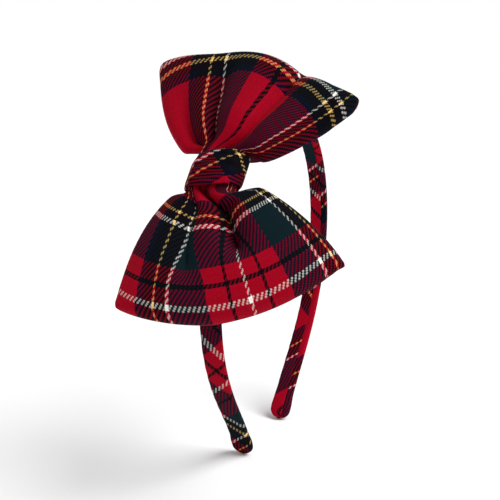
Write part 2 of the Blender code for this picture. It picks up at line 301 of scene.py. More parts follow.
# Half of the sett for each direction, from its white middle line outwards: (width, colour).
WARP_SETT = (
    (0.50, WHITE), (4.78, RED), (1.32, BLACK), (6.6, RED), (12.3, GREEN), (1.0, WHITE), (3.9, BLACK),
    (0.8, YELLOW), (3.6, BLACK), (2.4, NAVY), (24.2, RED),
)
WEFT_SETT = (
    (1.04, WHITE), (5.0, RED), (1.8, BLACK), (5.9, RED), (15.6, GREEN), (1.6, WHITE), (3.5, BLACK),
    (1.3, YELLOW), (3.9, BLACK), (2.4, NAVY), (25.0, RED),
)
WARP_MIDDLE = 5.5
WEFT_MIDDLE = 5.8
WARP_YARN = 0.38
WEFT_YARN = 0.60


class Nodes:
    """A short way to write a material's node tree."""

    def __init__(self, name):
        self.material = bpy.data.materials.new(name)
        self.material.use_nodes = True
        self.tree = self.material.node_tree
        self.shader = self.tree.nodes["Principled BSDF"]

    def add(self, kind, **settings):
        node = self.tree.nodes.new(kind)
        for key, value in settings.items():
            setattr(node, key, value)
        return node

    def wire(self, value, socket):
        if hasattr(value, "is_output"):
            self.tree.links.new(value, socket)
        elif isinstance(value, tuple) and len(value) == 3 and socket.type == "RGBA":
            socket.default_value = (*value, 1.0)
        else:
            socket.default_value = value

    def maths(self, operation, *values):
        node = self.add("ShaderNodeMath", operation=operation)
        for value, socket in zip(values, node.inputs):
            self.wire(value, socket)
        return node.outputs[0]

    def mix(self, share, first, second, blend="MIX"):
        node = self.add("ShaderNodeMix", data_type="RGBA", blend_type=blend)
        self.wire(share, node.inputs["Factor"])
        self.wire(first, node.inputs[6])
        self.wire(second, node.inputs[7])
        return node.outputs[2]

    def noise(self, scale, detail=2.0, vector=None, dimensions="3D"):
        node = self.add("ShaderNodeTexNoise", noise_dimensions=dimensions)
        node.inputs["Scale"].default_value = scale
        node.inputs["Detail"].default_value = detail
        if vector is not None:
            self.tree.links.new(vector, node.inputs["Vector"])
        return node.outputs["Fac"]

    def stripes(self, place, middle, sett):
        total = sum(width for width, _ in sett)
        swing = self.maths("PINGPONG", self.maths("SUBTRACT", place, middle), total)
        ramp = self.add("ShaderNodeValToRGB")
        ramp.color_ramp.interpolation = "CONSTANT"
        at = 0.0
        for k, (width, colour) in enumerate(sett):
            stops = ramp.color_ramp.elements
            stop = stops[k] if k < 2 else stops.new(at / total)
            stop.position = at / total
            stop.color = (*colour, 1.0)
            at += width
        self.tree.links.new(self.maths("DIVIDE", swing, total), ramp.inputs["Fac"])
        return ramp.outputs["Color"]

    def bump(self, height, strength, distance):
        made = self.add("ShaderNodeBump")
        made.inputs["Strength"].default_value = strength
        made.inputs["Distance"].default_value = distance
        self.tree.links.new(height, made.inputs["Height"])
        self.tree.links.new(made.outputs["Normal"], self.shader.inputs["Normal"])


# The threads' sway: its noise's scale, and its width in millimetres.
SWAY_SCALE = 0.35
SWAY = 0.5
# How much the yarn beneath darkens a float at its edge, and how much less on its top.
DARKENED_AT_EDGE = 0.82
LESS_ON_TOP = 0.25
# Factors by which the colour is multiplied: a random tone from yarn to yarn, and painted shade that darkens
# each float's edge and lightens its top.
YARNS_VARY = 0.16
DARKEST_YARN = 0.86
PAINTED_LIGHT_ON_TOP = 0.45
PAINTED_SHADE_AT_EDGE = 0.72


def tartan_twill():
    """A 2/2 twill of round yarns, coloured by the sett in both directions."""
    n = Nodes("tartan_twill_looks")
    cloth = n.add("ShaderNodeUVMap", uv_map="cloth")
    apart = n.add("ShaderNodeSeparateXYZ")
    n.tree.links.new(cloth.outputs["UV"], apart.inputs["Vector"])
    sway = n.add("ShaderNodeTexNoise", noise_dimensions="2D")
    sway.inputs["Scale"].default_value = SWAY_SCALE
    n.tree.links.new(cloth.outputs["UV"], sway.inputs["Vector"])
    wander = n.maths("MULTIPLY", n.maths("SUBTRACT", sway.outputs["Fac"], 0.5), SWAY)
    a = n.maths("DIVIDE", n.maths("ADD", apart.outputs["X"], wander), WARP_YARN)
    b = n.maths("DIVIDE", n.maths("ADD", apart.outputs["Y"], wander), WEFT_YARN)
    i = n.maths("FLOOR", a)
    j = n.maths("FLOOR", b)
    warp = n.stripes(n.maths("MULTIPLY", n.maths("ADD", i, 0.5), WARP_YARN), WARP_MIDDLE, WARP_SETT)
    weft = n.stripes(n.maths("MULTIPLY", n.maths("ADD", j, 0.5), WEFT_YARN), WEFT_MIDDLE, WEFT_SETT)
    step = n.maths("WRAP", n.maths("SUBTRACT", i, j), 4.0, 0.0)
    warp_on_top = n.maths("LESS_THAN", step, 1.5)
    weft_on_top = n.maths("SUBTRACT", 1.0, warp_on_top)
    # How far across and along its own float each point is, from 0 to 1.
    in_a = n.maths("FRACT", a)
    in_b = n.maths("FRACT", b)
    warp_round = n.maths("SINE", n.maths("MULTIPLY", in_a, math.pi))
    weft_round = n.maths("SINE", n.maths("MULTIPLY", in_b, math.pi))
    first = n.maths("LESS_THAN", n.maths("WRAP", step, 2.0, 0.0), 0.5)
    second = n.maths("SUBTRACT", 1.0, first)
    warp_along = n.maths("MULTIPLY", n.maths("ADD", second, n.maths("SUBTRACT", 1.0, in_b)), 0.5)
    weft_along = n.maths("MULTIPLY", n.maths("ADD", second, in_a), 0.5)
    warp_bow = n.maths("SINE", n.maths("MULTIPLY", warp_along, math.pi))
    weft_bow = n.maths("SINE", n.maths("MULTIPLY", weft_along, math.pi))
    warp_rounded = n.maths("MULTIPLY", warp_on_top, warp_round)
    round_yarn = n.maths("ADD", warp_rounded, n.maths("MULTIPLY", weft_on_top, weft_round))
    warp_bowed = n.maths("MULTIPLY", warp_on_top, warp_bow)
    bowed = n.maths("ADD", warp_bowed, n.maths("MULTIPLY", weft_on_top, weft_bow))
    height = n.maths("MULTIPLY", n.maths("ADD", round_yarn, bowed), 0.5)
    above = n.mix(warp_on_top, weft, warp)
    below = n.mix(warp_on_top, warp, weft)
    shows_through = n.maths("SUBTRACT", DARKENED_AT_EDGE, n.maths("MULTIPLY", height, LESS_ON_TOP))
    colour = n.mix(shows_through, above, below, "DARKEN")
    yarn_mark = n.add("ShaderNodeTexWhiteNoise", noise_dimensions="2D")
    pair = n.add("ShaderNodeCombineXYZ")
    n.tree.links.new(n.maths("MULTIPLY", i, warp_on_top), pair.inputs["X"])
    n.tree.links.new(n.maths("MULTIPLY", j, weft_on_top), pair.inputs["Y"])
    n.tree.links.new(pair.outputs["Vector"], yarn_mark.inputs["Vector"])
    uneven = n.maths("ADD", n.maths("MULTIPLY", yarn_mark.outputs["Value"], YARNS_VARY), DARKEST_YARN)
    # Painted shade: the colour is darkened towards each float's edges, between the yarns, and lightened on
    # its top.
    painted_relief_shade = n.maths("ADD", n.maths("MULTIPLY", height, PAINTED_LIGHT_ON_TOP), PAINTED_SHADE_AT_EDGE)
    tone_and_painted_shade = n.maths("MULTIPLY", painted_relief_shade, uneven)
    tone_and_painted_shade_grey = n.add("ShaderNodeCombineXYZ")
    for socket in tone_and_painted_shade_grey.inputs[:3]:
        n.tree.links.new(tone_and_painted_shade, socket)
    colour = n.mix(1.0, colour, tone_and_painted_shade_grey.outputs["Vector"], "MULTIPLY")
    n.tree.links.new(colour, n.shader.inputs["Base Color"])
    fibres = n.noise(9.0, 3.0, cloth.outputs["UV"], "2D")
    n.tree.links.new(n.maths("ADD", n.maths("MULTIPLY", fibres, 0.2), 0.68), n.shader.inputs["Roughness"])
    n.shader.inputs["Specular IOR Level"].default_value = 0.03
    n.shader.inputs["Sheen Weight"].default_value = 0.01
    n.shader.inputs["Sheen Roughness"].default_value = 0.5
    n.bump(n.maths("ADD", height, n.maths("MULTIPLY", fibres, 0.3)), 0.55, 0.00010)
    return n.material


def mottled(name, colour, roughness, scale, depth, bump_mm):
    """One colour with a little unevenness and a fine bump, for the parts behind the cloth."""
    n = Nodes(name)
    place = n.add("ShaderNodeTexCoord")
    fine = n.noise(scale, 4.0, place.outputs["Object"])
    dark = tuple(c * (1 - depth) for c in colour)
    n.tree.links.new(n.mix(fine, dark, colour), n.shader.inputs["Base Color"])
    rough = n.maths("ADD", n.maths("MULTIPLY", fine, 0.15), roughness)
    n.tree.links.new(rough, n.shader.inputs["Roughness"])
    n.bump(fine, 0.4, bump_mm * MM)
    return n.material


def twisted_thread():
    """Two-ply sewing thread: a fine helix of light and dark along it."""
    n = Nodes("red_thread_looks")
    place = n.add("ShaderNodeTexCoord")
    wave = n.add("ShaderNodeTexWave", wave_type="BANDS", bands_direction="DIAGONAL")
    wave.inputs["Scale"].default_value = 900.0
    n.tree.links.new(place.outputs["Object"], wave.inputs["Vector"])
    n.tree.links.new(
        n.mix(wave.outputs["Fac"], (0.16, 0.004, 0.010), (0.36, 0.010, 0.022)), n.shader.inputs["Base Color"]
    )
    n.shader.inputs["Roughness"].default_value = 0.55
    n.bump(wave.outputs["Fac"], 0.5, 0.00005)
    return n.material


# The bow's cloth ----------------------------------------------------------------------------


def fan(loop, a, out, up):
    """Points (t, f, n) of one side of a loop, up for the front cloth and -up for the back: threads
    a, at shares out of the way from the waist to the loop's end."""
    back_place, back_drop = rolled(a, loop.back.roll, -1)
    front_place, front_drop = rolled(a, loop.front.roll, 1)
    x = (back_place + front_place - a + HALF_ACROSS) / (2 * HALF_ACROSS)
    x = x + loop.lean * np.sin(math.pi * x)
    off_middle = a / HALF_ACROSS
    brim = loop.belly * (1 - np.abs(off_middle) ** 3)
    height = brim * (BELLY_AT_WAIST + (1 - BELLY_AT_WAIST) * smooth(out / BELLY_RISES_OVER))
    near_back = smooth((-off_middle - BACK_CORNER_FROM) / (1 - BACK_CORNER_FROM))
    near_front = smooth((off_middle - FRONT_CORNER_FROM) / (1 - FRONT_CORNER_FROM))
    reach = loop.reach + loop.back.corner * near_back + loop.front.corner * near_front
    for fold in loop.folds:
        off = (a - fold.thread) / fold.half_width
        near = np.exp(-(off**2))
        lasts = smooth((fold.fades - out) / FOLD_FADES_OVER)
        height = height + fold.height * near * lasts * smooth(out / FOLD_STARTS_OVER)
        brim = brim + fold.height * near * smooth((fold.fades - 1) / FOLD_FADES_OVER)
        x = x - fold.draw * off * near * lasts / (2 * HALF_ACROSS)
        reach = reach - fold.pull * np.exp(-((off / PULL_WIDENS) ** 2))
    brim = np.maximum(brim * loop.brim, LEAST_BRIM)
    place, drop = rolled(out * loop.length, brim * math.pi / 2, 1, loop.length)
    radius = loop.start + (reach - loop.start) * place / (loop.length - brim * (math.pi / 2 - 1))
    back = loop.back.angle - loop.back.swell * (1 - out) ** SWELL_POWER
    front = loop.front.angle + loop.front.swell * (1 - out)
    turn = np.radians(back + (front - back) * x)
    level = height * (1 - (1 - loop.brim) * out**3) + drop
    n = up * level + (back_drop + front_drop) * smooth(out / ROLL_STARTS_OVER)
    spread = np.stack([loop.way * radius * np.cos(turn), radius * np.sin(turn), n], -1)
    gathered = pleats(loop, a, up)
    gathered[..., 0] += loop.way * (reach - loop.start) * out
    opened = smooth(out / OPENS_OVER)[..., None]
    return gathered * (1 - opened) + spread * opened


def rolled(place, width, way, end=HALF_ACROSS):
    """Where cloth lies when its last stretch, a width before its end, turns back over a quarter
    circle, and how far it drops."""
    radius = width * 2 / math.pi
    into = np.clip((way * place - end + width) / width, 0, 1)
    turned = into * math.pi / 2
    return place - way * (into * width - radius * np.sin(turned)), -radius * (1 - np.cos(turned))


def pleats(loop, a, up):
    """The cloth where it enters the knot: side by side from back to front, in soft pleats."""
    x = a / HALF_ACROSS
    f = WAIST_HALF_WIDTH * np.sin((x + loop.gather * (1 - x**2)) * math.pi / 2)
    height = PLEAT_DEPTH * np.sqrt(np.clip(1 - x**4, 0, 1))
    for fold in loop.folds:
        off = (a - fold.thread) / fold.half_width
        height = height + PLEAT_SHARE * fold.height * np.exp(-(off**2))
    return np.stack([np.full_like(a, loop.way * loop.start), f, up * height], -1)


class Bow:
    """The two panels as one net of points that share their seam, and its springs."""

    COLUMNS = 57
    LOWER_ROWS = 34
    WAIST_ROWS = 5
    UPPER_ROWS = 34
    # The gathers at the waist open out over this much cloth.
    GATHERS_OPEN_OVER = 20.0
    # How much of each spring's length is as it was laid. The rest is the cloth's own.
    EASED = 0.9
    THREAD_SHARE = 1.0
    SHEAR_SHARE = 0.2
    # Springs that only push: how many points they span, and their share.
    STIFFENERS = ((2, 0.3), (4, 0.12), (8, 0.03))
    # Each step: how hard the panels are pushed apart, how much speed is kept, how often the springs
    # are gone through, and how far the front panel is drawn back to where it was laid.
    STUFFING = 0.004
    SLOWED = 0.88
    PASSES = 4
    HELD = 0.10
    # What the back panel keeps off: the other panel, and the band's curved outer face.
    CLEAR = 0.95
    BAND_TOP = -4.8
    BAND_RADIUS = 66.0
    BAND_REACH = 7

    def __init__(self):
        self.a = np.linspace(-HALF_ACROSS, HALF_ACROSS, self.COLUMNS)
        self.b = np.concatenate(
            [
                np.linspace(0, LOWER_WAIST, self.LOWER_ROWS, endpoint=False),
                np.linspace(LOWER_WAIST, UPPER_WAIST, self.WAIST_ROWS),
                np.linspace(UPPER_WAIST, LENGTH, self.UPPER_ROWS + 1)[1:],
            ]
        )
        self.at_waist = (self.b >= LOWER_WAIST - 1e-6) & (self.b <= UPPER_WAIST + 1e-6)
        rows, columns = len(self.b), self.COLUMNS
        self.front = np.arange(rows * columns).reshape(rows, columns)
        self.back = self.front.copy()
        inside = (rows - 2) * (columns - 2)
        self.back[1:-1, 1:-1] = rows * columns + np.arange(inside).reshape(rows - 2, columns - 2)
        self.cut_a, self.cut_b = self.rounded_cut()
        front = self.laid(LOWER_LOOP, UPPER_LOOP, 1)
        own = {"belly": BACK_BELLY, "folds": BACK_FOLDS}
        back = self.laid(LOWER_LOOP._replace(**own), UPPER_LOOP._replace(**own), -1)
        self.points = np.zeros((rows * columns + inside, 3))
        self.points[self.front] = front
        self.points[self.back[1:-1, 1:-1]] = back[1:-1, 1:-1]
        self.free = np.ones(len(self.points))
        self.free[self.front[self.at_waist]] = 0
        self.free[self.back[self.at_waist]] = 0
        self.home = self.points.copy()
        self.springs = []
        self.add_springs(self.front, front)
        self.add_springs(self.back, back)

    def rounded_cut(self):
        """The net's cloth coordinates, with the square corners of its grid rounded off."""
        a, b = np.meshgrid(self.a, self.b)
        middle = LENGTH / 2
        side = np.clip((np.abs(a) - HALF_ACROSS) / CORNER_ROUNDING + 1, 0, 1)
        end = np.clip((np.abs(b - middle) - middle) / CORNER_ROUNDING + 1, 0, 1)
        inward = CORNER_ROUNDING * side * (1 - np.sqrt(1 - end**2 / 2))
        upward = CORNER_ROUNDING * end * (1 - np.sqrt(1 - side**2 / 2))
        return a - np.sign(a) * inward, b - np.sign(b - middle) * upward

    def laid(self, lower, upper, up):
        """A panel as it is laid: a fan on each side of the waist, and its pleats between them."""
        grid_a, grid_b = self.cut_a, self.cut_b
        low = self.b < LOWER_WAIST
        high = self.b > UPPER_WAIST
        panel = np.zeros((*grid_a.shape, 3))
        panel[low] = fan(lower, grid_a[low], (LOWER_WAIST - grid_b[low]) / LOWER_WAIST, up)
        panel[high] = fan(upper, grid_a[high], (grid_b[high] - UPPER_WAIST) / (LENGTH - UPPER_WAIST), up)
        share = ((self.b[self.at_waist] - LOWER_WAIST) / (UPPER_WAIST - LOWER_WAIST))[:, None, None]
        panel[self.at_waist] = pleats(lower, self.a, up) * (1 - share) + pleats(upper, self.a, up) * share
        return panel

    def add_springs(self, net, laid):
        """Threads, shear and stiffness. A thread's length is the cloth's own, eased towards the
        length it was laid at, and near the waist the gathers take up the width."""
        rows, columns = net.shape

        def add(i, j, cloth, share, push):
            laid_length = np.linalg.norm(self.points[i] - self.points[j], axis=-1)
            rest = cloth * (1 - self.EASED) + laid_length * self.EASED
            self.springs.append((i.ravel(), j.ravel(), rest.ravel(), share, push))

        from_waist = np.maximum(LOWER_WAIST - self.b, self.b - UPPER_WAIST)
        spread = smooth(from_waist / self.GATHERS_OPEN_OVER)[:, None]
        across_laid = np.linalg.norm(np.diff(laid, axis=1), axis=2)
        across = across_laid * (1 - spread) + np.diff(self.a)[None, :] * spread
        along = np.diff(self.b)[:, None] * np.ones((1, columns))
        for o in (0, 1):
            add(net[:, o:-1:2], net[:, o + 1 :: 2], across[:, o::2], self.THREAD_SHARE, False)
            add(net[o:-1:2], net[o + 1 :: 2], along[o::2], self.THREAD_SHARE, False)
        square = np.sqrt(((across[:-1] + across[1:]) / 2) ** 2 + np.diff(self.b)[:, None] ** 2)
        for o in (0, 1):
            add(net[o:-1:2, :-1], net[o + 1 :: 2, 1:], square[o::2], self.SHEAR_SHARE, False)
            add(net[o:-1:2, 1:], net[o + 1 :: 2, :-1], square[o::2], self.SHEAR_SHARE, False)
        for step, share in self.STIFFENERS:
            for o in (0, 1):
                c = np.array([k for k in range(columns - step) if (k // step) % 2 == o])
                r = np.array([k for k in range(rows - step) if (k // step) % 2 == o])
                wide = np.stack([across[:, k : k + step].sum(axis=1) for k in c], axis=1)
                add(net[:, c], net[:, c + step], wide, share, True)
                long = np.stack([np.full(columns, self.b[k + step] - self.b[k]) for k in r])
                add(net[r], net[r + step], long, share, True)

    def settle(self, steps):
        """Lets the cloth settle: blown out a little by its stuffing, held at its folds, kept off
        the other panel and off the band."""
        points, free = self.points, self.free
        moving = free > 0
        speed = np.zeros_like(points)
        inner_front = self.front[1:-1, 1:-1].ravel()
        inner_back = self.back[1:-1, 1:-1].ravel()
        for _ in range(steps):
            before = points.copy()
            speed *= self.SLOWED
            for net, way in ((self.front, 1), (self.back, -1)):
                grid = points[net]
                over = np.zeros_like(grid)
                up = np.zeros_like(grid)
                over[:, 1:-1] = grid[:, 2:] - grid[:, :-2]
                up[1:-1] = grid[2:] - grid[:-2]
                speed[net[1:-1, 1:-1]] += way * np.cross(up, over)[1:-1, 1:-1] * self.STUFFING
            points += speed * moving[:, None]
            for _ in range(self.PASSES):
                for i, j, rest, share, push in self.springs:
                    run = points[j] - points[i]
                    length = np.sqrt((run * run).sum(axis=1)) + 1e-9
                    off = np.minimum(length - rest, 0) if push else length - rest
                    total = free[i] + free[j]
                    stretch = share * off / (length * np.maximum(total, 1))
                    pull = np.where(total > 0, stretch, 0)[:, None] * run
                    points[i] += pull * free[i][:, None]
                    points[j] -= pull * free[j][:, None]
                self.hold_folds()
                close = np.minimum(points[inner_front, 2] - points[inner_back, 2] - self.CLEAR, 0)
                both = np.maximum(free[inner_front] + free[inner_back], 1)
                points[inner_front, 2] -= close * free[inner_front] / both
                points[inner_back, 2] += close * free[inner_back] / both
                floor = self.BAND_TOP - points[inner_back, 0] ** 2 / (2 * self.BAND_RADIUS)
                over_band = np.abs(points[inner_back, 1] + BOW_BEHIND) < self.BAND_REACH
                low = over_band & (free[inner_back] > 0) & (points[inner_back, 2] < floor)
                points[inner_back[low], 2] = floor[low]
            speed = points - before

    def hold_folds(self):
        """Draw the front panel back towards where it was laid, and its edges once more."""
        front = self.front.ravel()
        self.points[front] += (self.home[front] - self.points[front]) * self.HELD
        edge = np.concatenate([self.front[0], self.front[-1], self.front[:, 0], self.front[:, -1]])
        self.points[edge] += (self.home[edge] - self.points[edge]) * self.HELD

    def cloth_of(self, times, cut):
        """The fabric's own coordinates."""
        a, b = self.cut_a, self.cut_b
        upper = np.clip((b - UPPER_WAIST) / (LENGTH - UPPER_WAIST), 0, 1)
        grain_a = a - GRAIN_SLIP * upper * (HALF_ACROSS - a) / (2 * HALF_ACROSS)
        grain_b = b + upper * (GRAIN_SLOPE * (a + HALF_ACROSS) + GRAIN_START)
        both = np.stack([grain_a + cut[0], grain_b + cut[1], np.zeros_like(a)], -1)
        return finer(both, times)[..., :2]


def make_panel(name, bow, net, way, cut, finish):
    """A panel on its side of the net, way 1 for the front one and -1 for the back one."""
    times = 2
    grid = finer(bow.points[net], times)
    out = normals(grid)
    if out[..., 2].mean() * way < 0:
        out = -out
    inner = from_bow(grid + out * PANEL_OFF_NET)
    outer = from_bow(grid + out * (PANEL_OFF_NET + CLOTH))
    return shell(name, inner, outer, bow.cloth_of(times, cut), finish)


def make_lining(bow, finish):
    """The stiff layer half-way between the panels, a few points short of their seam."""
    inside = slice(LINING_INSET, -LINING_INSET)
    middle = (bow.points[bow.front] + bow.points[bow.back])[inside, inside] / 2
    lift = np.array((0.0, 0.0, LINING_HALF_THICKNESS))
    flat = np.stack(np.meshgrid(bow.a[inside], bow.b[inside]), -1)
    return shell("bow_lining", from_bow(middle - lift), from_bow(middle + lift), flat, finish)


# The knot -----------------------------------------------------------------------------------


def taut_loop(discs, samples=720):
    """The closed line pulled tight round discs (f, n, radius), in even steps."""
    discs = np.array(discs, float)
    angles = np.linspace(0, 2 * math.pi, samples, endpoint=False)
    rays = np.stack([np.cos(angles), np.sin(angles)], -1)
    reach = rays @ discs[:, :2].T + discs[:, 2]
    chosen = discs[reach.argmax(axis=1)]
    points = chosen[:, :2] + rays * chosen[:, 2:3]
    closed = np.concatenate([points, points[:1]])
    run = np.concatenate([[0], np.cumsum(np.linalg.norm(np.diff(closed, axis=0), axis=1))])
    return closed, run


# The gathered waist's outline: shares of its half width, and heights off its middle. A line round it
# is rounded by so much there and at the band, where only a share of its clearance counts.
WAIST_OUTLINE = ((1.0, 0.0), (0.7, 2.6), (0.7, -2.4), (0.35, 2.9))
WAIST_ROUNDING = 0.4
BAND_ROUNDING = 0.5
SNUGGER_AT_BAND = 0.4


def waist_discs(extra):
    """Discs for a line that clears the gathered waist by extra."""
    discs = []
    for share, n in WAIST_OUTLINE:
        discs += [(side * share * WAIST_HALF_WIDTH, n, WAIST_ROUNDING + extra) for side in (-1, 1)]
    return discs


def waist_and_band_discs(extra, lap=0.0):
    """Discs for a line that clears the waist by extra, and the band by lap as well."""
    half_wide = CORE_HALF_WIDTH + GAP + CLOTH / 2
    corners = [(f - BOW_BEHIND, n - BOW_RISE) for f in (-half_wide, half_wide) for n in (-LEVEL, LEVEL)]
    radius = BAND_ROUNDING + extra * SNUGGER_AT_BAND + lap
    return waist_discs(extra) + [(f, n, radius) for f, n in corners]


def along_loop(discs, share):
    closed, run = taut_loop(discs)
    at = np.mod(share, 1.0) * run[-1]
    return np.stack([np.interp(at, run, closed[:, k]) for k in (0, 1)], -1), run[-1]


# The knot's strip, in turns: where it starts, how far it goes round, where it starts to lift for its
# lap and how long that takes. Then how far it clears the waist, how much further off the band it
# lies at its lap, and how it lies on the tartan.
KNOT_START = 0.76
KNOT_TURNS = 1.06
KNOT_LAP_FROM = 0.62
KNOT_LAP_OVER = 0.3
KNOT_CLEAR = 0.9
KNOT_LAP = 1.25
KNOT_TILT = math.radians(40.0)
KNOT_WARP = -23.0
KNOT_WEFT = 51.2
# Half its width, how much wider it is at the middle of its face and how that tapers off, then its
# middle line, which slopes and bends, its belly and the thickness at its edge.
KNOT_HALF = 6.0
KNOT_FACE_WIDER = 1.3
KNOT_FACE_TAPER = 0.013
KNOT_MIDDLE = -1.2
KNOT_SLOPE = 0.20
KNOT_BEND = 0.004
KNOT_BELLY = 0.5
KNOT_EDGE = 0.30


def knot_crease(t, f, above):
    """Two sets of soft creases, lengthways and askew, which fade towards the head side."""
    lengthways = 0.34 * np.cos((t * 0.9 - f * 0.62) * 1.1 + 0.6)
    askew = 0.22 * np.cos((t * 1.2 + f * 0.22) * 1.5 + 2.0)
    return (lengthways + askew) * (0.35 + 0.65 * above)


def make_knot(finish):
    """A folded strip drawn once round the waist and the band. It laps over its start on the head
    side, and it is creased lengthways where it was pulled tight."""
    around = 150
    across = 33
    turns = np.linspace(0.0, KNOT_TURNS, around)
    low, length = along_loop(waist_and_band_discs(KNOT_CLEAR), KNOT_START + turns)
    high, _ = along_loop(waist_and_band_discs(KNOT_CLEAR, KNOT_LAP), KNOT_START + turns)
    lift = smooth((turns - KNOT_LAP_FROM) / KNOT_LAP_OVER)[:, None]
    path = low * (1 - lift) + high * lift
    along = np.gradient(path, axis=0)
    along /= np.linalg.norm(along, axis=1, keepdims=True)
    out = np.stack([along[:, 1], -along[:, 0]], -1)
    wide = np.linspace(-1.0, 1.0, across)[None, :]
    f = path[:, :1]
    above = smooth((path[:, 1:] + 1.0) / 5.0)
    half = KNOT_HALF + (KNOT_FACE_WIDER - KNOT_FACE_TAPER * f**2) * above
    centre = KNOT_MIDDLE + KNOT_SLOPE * f - KNOT_BEND * f**2 * above
    t = centre + half * wide
    rounding = np.sqrt(np.clip(1 - np.abs(wide) ** 5, 0, 1))
    belly = KNOT_BELLY * (1 - wide**2) * above
    inner_n = 0.05 + KNOT_EDGE * (1 - rounding)
    creased = knot_crease(t, f, above) * rounding * 0.55 * above
    outer_n = inner_n + KNOT_EDGE + 2 * CLOTH * rounding + belly + creased
    grids = []
    for height in (inner_n, outer_n):
        section = path[:, None] + out[:, None] * height[..., None]
        grids.append(from_bow(np.concatenate([t[..., None], section], axis=-1)))
    top = turns[np.argmax(path[:, 1])]
    strip = np.broadcast_to((top - turns[:, None]) * length, t.shape)
    warp = KNOT_WARP + t * math.cos(KNOT_TILT) - strip * math.sin(KNOT_TILT)
    weft = KNOT_WEFT - strip * math.cos(KNOT_TILT) - t * math.sin(KNOT_TILT)
    return shell("knot_cloth", grids[0], grids[1], np.stack([warp, weft], -1), finish)


def ring_faces(rows, columns):
    """The faces of a stack of rings, closed at both ends."""
    faces = []
    for r in range(rows - 1):
        for c in range(columns):
            d = (c + 1) % columns
            faces.append((r * columns + c, r * columns + d, (r + 1) * columns + d, (r + 1) * columns + c))
    faces.append(tuple(range(columns))[::-1])
    faces.append(tuple((rows - 1) * columns + c for c in range(columns)))
    return faces


def tube(name, points, radius, finish, sides=8):
    """A closed thread along points in millimetres."""
    points = np.asarray(points, float)
    along = np.gradient(points, axis=0)
    along /= np.linalg.norm(along, axis=1, keepdims=True)
    side = np.cross(along, BOW_ALONG)
    weak = np.linalg.norm(side, axis=1) < 0.2
    side[weak] = np.cross(along[weak], BOW_OUT)
    side /= np.linalg.norm(side, axis=1, keepdims=True)
    up = np.cross(side, along)
    rings = []
    for turn in np.linspace(0, 2 * math.pi, sides, endpoint=False):
        rings.append(points + radius * (math.cos(turn) * side + math.sin(turn) * up))
    grid = np.stack(rings, axis=1)
    count = len(points)
    cloth = np.zeros((count * sides, 2))
    made = mesh_object(name, grid.reshape(-1, 3), ring_faces(count, sides), cloth, finish)
    face_outwards(made)
    return made


# The gathering thread, with its turns this far apart along the bow.
THREAD_TURNS = 3
THREAD_RADIUS = 0.22
THREAD_CLEAR = 0.3
THREAD_MIDDLE = -1.3
THREAD_APART = 1.2


def make_thread(finish):
    """The gathering thread: wound round the waist, under the knot."""
    share = np.linspace(0, THREAD_TURNS, 240)
    line, _ = along_loop(waist_discs(THREAD_CLEAR), share)
    t = THREAD_MIDDLE + THREAD_APART * (share - THREAD_TURNS / 2)
    points = from_bow(np.column_stack([t, line]))
    return tube("gather_thread_wound", points, THREAD_RADIUS, finish)


STITCHES = 6
STITCH_RADIUS = 0.15
# As a share of the way round the knot.
STITCH_HALF_LENGTH = 0.016
STITCH_ROW_MIDDLE = -1.5
STITCH_ROW_HALF = 4.6
# How far the thread stands off: on the lapped end itself, and on the strip beside it.
STITCH_ON_LAP = 0.75
STITCH_BESIDE_LAP = 1.22


def make_stitches(finish):
    """Whip stitches over the knot's lapped end, on the head side."""
    discs = waist_and_band_discs(KNOT_CLEAR, KNOT_LAP)
    lap_end = KNOT_START + KNOT_TURNS - 1
    points = []
    for k in range(2 * STITCHES):
        side = -1 if k % 2 else 1
        line, _ = along_loop(discs, np.array([lap_end + side * STITCH_HALF_LENGTH]))
        f, n = line[0]
        t = STITCH_ROW_MIDDLE + STITCH_ROW_HALF * (2 * k / (2 * STITCHES - 1) - 1)
        points.append((t, f, n - (STITCH_BESIDE_LAP if side < 0 else STITCH_ON_LAP)))
    points = np.array(points)
    fine = finer(points[:, None, :].repeat(2, axis=1), 6)[:, 0]
    return tube("knot_whip_stitches", from_bow(fine), STITCH_RADIUS, finish, sides=6)


# The band's cover ---------------------------------------------------------------------------


def cover_section(half_wide):
    """The cloth round the core, as (f, n): hidden edge, front edge, outer face, back edge, lap."""
    side = half_wide + GAP + CLOTH / 2
    scale = half_wide / CORE_HALF_WIDTH
    points = [(f, -LEVEL) for f in np.linspace(HIDDEN_EDGE * scale, side - LEVEL, 6, endpoint=False)]
    for angle in np.linspace(-90, 90, 9):
        turn = math.radians(angle)
        points.append((side - LEVEL + LEVEL * math.cos(turn), LEVEL * math.sin(turn)))
    points += [(f, LEVEL) for f in np.linspace(side - LEVEL, -side + LEVEL, 9)[1:-1]]
    radius = (LEVEL + LAPPED) / 2
    middle = (LEVEL - LAPPED) / 2
    for angle in np.linspace(90, 270, 9):
        turn = math.radians(angle)
        points.append((-side + radius + radius * math.cos(turn), middle + radius * math.sin(turn)))
    points += [(f, -LAPPED) for f in np.linspace(-side + radius, SEAM_EDGE * scale, 8)[1:]]
    return np.array(points)


# How far the cover's strip is cut along the warp and along the weft from the bow's middle lines.
BAND_CUT = (-16.2, -42.4)


# The cover thickens where it is folded over near the tips: by how much, how far from the end, over
# what length, and how many times more in its thickness than in its width.
TIP_SWELL = 0.10
TIP_SWELL_FROM_END = 6.0
TIP_SWELL_OVER = 4.0
TIP_SWELL_THICKER = 3
# Ripples along the back edge: their height, where across the band they are, and their spread.
RIPPLE = 0.05
RIPPLE_FROM = -3.5
RIPPLE_SPREAD = 4.0
# Degrees between the stations round a tip.
TIP_STEP = 11.5


